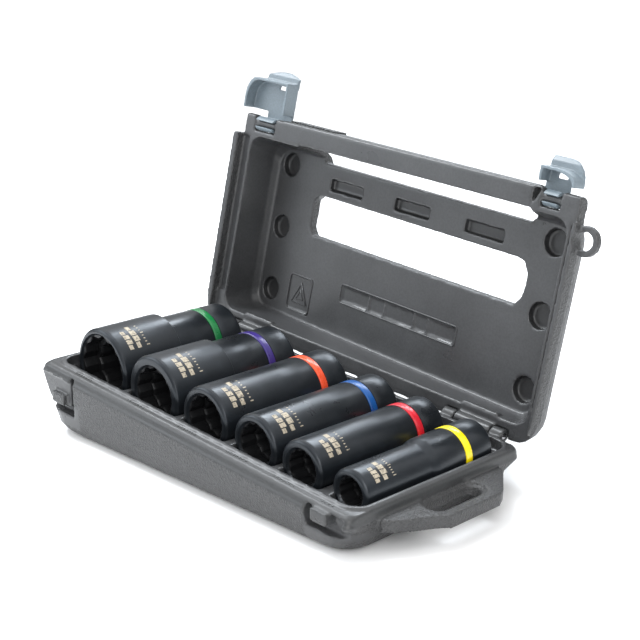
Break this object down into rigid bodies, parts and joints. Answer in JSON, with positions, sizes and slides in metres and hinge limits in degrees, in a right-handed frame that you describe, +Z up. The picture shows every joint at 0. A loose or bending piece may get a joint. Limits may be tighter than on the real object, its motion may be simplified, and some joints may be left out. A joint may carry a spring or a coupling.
{
  "type": "socket wrench set in case",
  "caption": "Deep two-size impact sockets with coloured size bands lying in a wedge-shaped moulded case with an open hinged lid, latches and a side handle",
  "frame": {"origin": "centre of the flat underside of the case", "axes": "X along the case towards the handle end, Y from the front edge to the hinge, Z up; the case frame is turned 4.3 degrees about Y because its underside slopes"},
  "size_m": [0.2662, 0.1742, 0.1841],
  "materials": {
    "case_plastic": "dark grey blow-moulded polyethylene, pebble grain outside, satin inside",
    "latch_plastic": "blue-grey moulded plastic, satin",
    "black_steel": "forged alloy steel, black oxide",
    "bright_steel": "plain spring steel",
    "band_green": "green colour band, semi-gloss",
    "band_purple": "purple colour band, semi-gloss",
    "band_orange": "orange colour band, semi-gloss",
    "band_blue": "blue colour band, semi-gloss",
    "band_red": "red colour band, semi-gloss",
    "band_yellow": "yellow colour band, semi-gloss"
  },
  "bodies": {
    "base": {"base_case": "case_plastic", "hinge_pin_left": "bright_steel", "hinge_pin_right": "bright_steel"},
    "lid": {"lid_case": "case_plastic"},
    "latch_left": {"latch_left": "latch_plastic"},
    "latch_right": {"latch_right": "latch_plastic"},
    "socket_green": {"socket_green_body": "black_steel", "socket_green_band": "band_green", "socket_green_ring": "bright_steel", "socket_green_spring": "bright_steel"},
    "sleeve_green": {"socket_green_sleeve": "black_steel"},
    "socket_purple": {"socket_purple_body": "black_steel", "socket_purple_band": "band_purple", "socket_purple_ring": "bright_steel", "socket_purple_spring": "bright_steel"},
    "sleeve_purple": {"socket_purple_sleeve": "black_steel"},
    "socket_orange": {"socket_orange_body": "black_steel", "socket_orange_band": "band_orange", "socket_orange_ring": "bright_steel", "socket_orange_spring": "bright_steel"},
    "sleeve_orange": {"socket_orange_sleeve": "black_steel"},
    "socket_blue": {"socket_blue_body": "black_steel", "socket_blue_band": "band_blue", "socket_blue_ring": "bright_steel", "socket_blue_spring": "bright_steel"},
    "sleeve_blue": {"socket_blue_sleeve": "black_steel"},
    "socket_red": {"socket_red_body": "black_steel", "socket_red_band": "band_red", "socket_red_ring": "bright_steel", "socket_red_spring": "bright_steel"},
    "sleeve_red": {"socket_red_sleeve": "black_steel"},
    "socket_yellow": {"socket_yellow_body": "black_steel", "socket_yellow_band": "band_yellow", "socket_yellow_ring": "bright_steel", "socket_yellow_spring": "bright_steel"},
    "sleeve_yellow": {"socket_yellow_sleeve": "black_steel"}
  },
  "joints": [
    {"name": "lid_hinge", "type": "hinge", "parent": "base", "child": "lid", "pos_m": [-0.08147, 0.0605, 0.03681], "axis": [-0.9972, 0, 0.075], "range_deg": [-100.9, 0]},
    {"name": "latch_left_hinge", "type": "hinge", "parent": "lid", "child": "latch_left", "pos_m": [0.01104, 0.08702, 0.14677], "axis": [-0.9972, 0, 0.075], "range_deg": [-90, 0]},
    {"name": "latch_right_hinge", "type": "hinge", "parent": "lid", "child": "latch_right", "pos_m": [0.01104, 0.08702, 0.14677], "axis": [-0.9972, 0, 0.075], "range_deg": [-90, 0]},
    {"name": "socket_green_lift", "type": "slide", "parent": "base", "child": "socket_green", "axis": [0.075, 0, 0.9972], "range_m": [0, 0.06]},
    {"name": "socket_green_sleeve_push", "type": "slide", "parent": "socket_green", "child": "sleeve_green", "axis": [0, 1, 0], "range_m": [0, 0.008], "stiffness_N_per_m": 400, "springref_m": -0.006, "deforming": ["socket_green_spring"]},
    {"name": "socket_purple_lift", "type": "slide", "parent": "base", "child": "socket_purple", "axis": [0.075, 0, 0.9972], "range_m": [0, 0.06]},
    {"name": "socket_purple_sleeve_push", "type": "slide", "parent": "socket_purple", "child": "sleeve_purple", "axis": [0, 1, 0], "range_m": [0, 0.008], "stiffness_N_per_m": 400, "springref_m": -0.006, "deforming": ["socket_purple_spring"]},
    {"name": "socket_orange_lift", "type": "slide", "parent": "base", "child": "socket_orange", "axis": [0.075, 0, 0.9972], "range_m": [0, 0.06]},
    {"name": "socket_orange_sleeve_push", "type": "slide", "parent": "socket_orange", "child": "sleeve_orange", "axis": [0, 1, 0], "range_m": [0, 0.008], "stiffness_N_per_m": 400, "springref_m": -0.006, "deforming": ["socket_orange_spring"]},
    {"name": "socket_blue_lift", "type": "slide", "parent": "base", "child": "socket_blue", "axis": [0.075, 0, 0.9972], "range_m": [0, 0.06]},
    {"name": "socket_blue_sleeve_push", "type": "slide", "parent": "socket_blue", "child": "sleeve_blue", "axis": [0, 1, 0], "range_m": [0, 0.008], "stiffness_N_per_m": 400, "springref_m": -0.006, "deforming": ["socket_blue_spring"]},
    {"name": "socket_red_lift", "type": "slide", "parent": "base", "child": "socket_red", "axis": [0.075, 0, 0.9972], "range_m": [0, 0.06]},
    {"name": "socket_red_sleeve_push", "type": "slide", "parent": "socket_red", "child": "sleeve_red", "axis": [0, 1, 0], "range_m": [0, 0.008], "stiffness_N_per_m": 400, "springref_m": -0.006, "deforming": ["socket_red_spring"]},
    {"name": "socket_yellow_lift", "type": "slide", "parent": "base", "child": "socket_yellow", "axis": [0.075, 0, 0.9972], "range_m": [0, 0.06]},
    {"name": "socket_yellow_sleeve_push", "type": "slide", "parent": "socket_yellow", "child": "sleeve_yellow", "axis": [0, 1, 0], "range_m": [0, 0.008], "stiffness_N_per_m": 400, "springref_m": -0.006, "deforming": ["socket_yellow_spring"]}
  ]
}
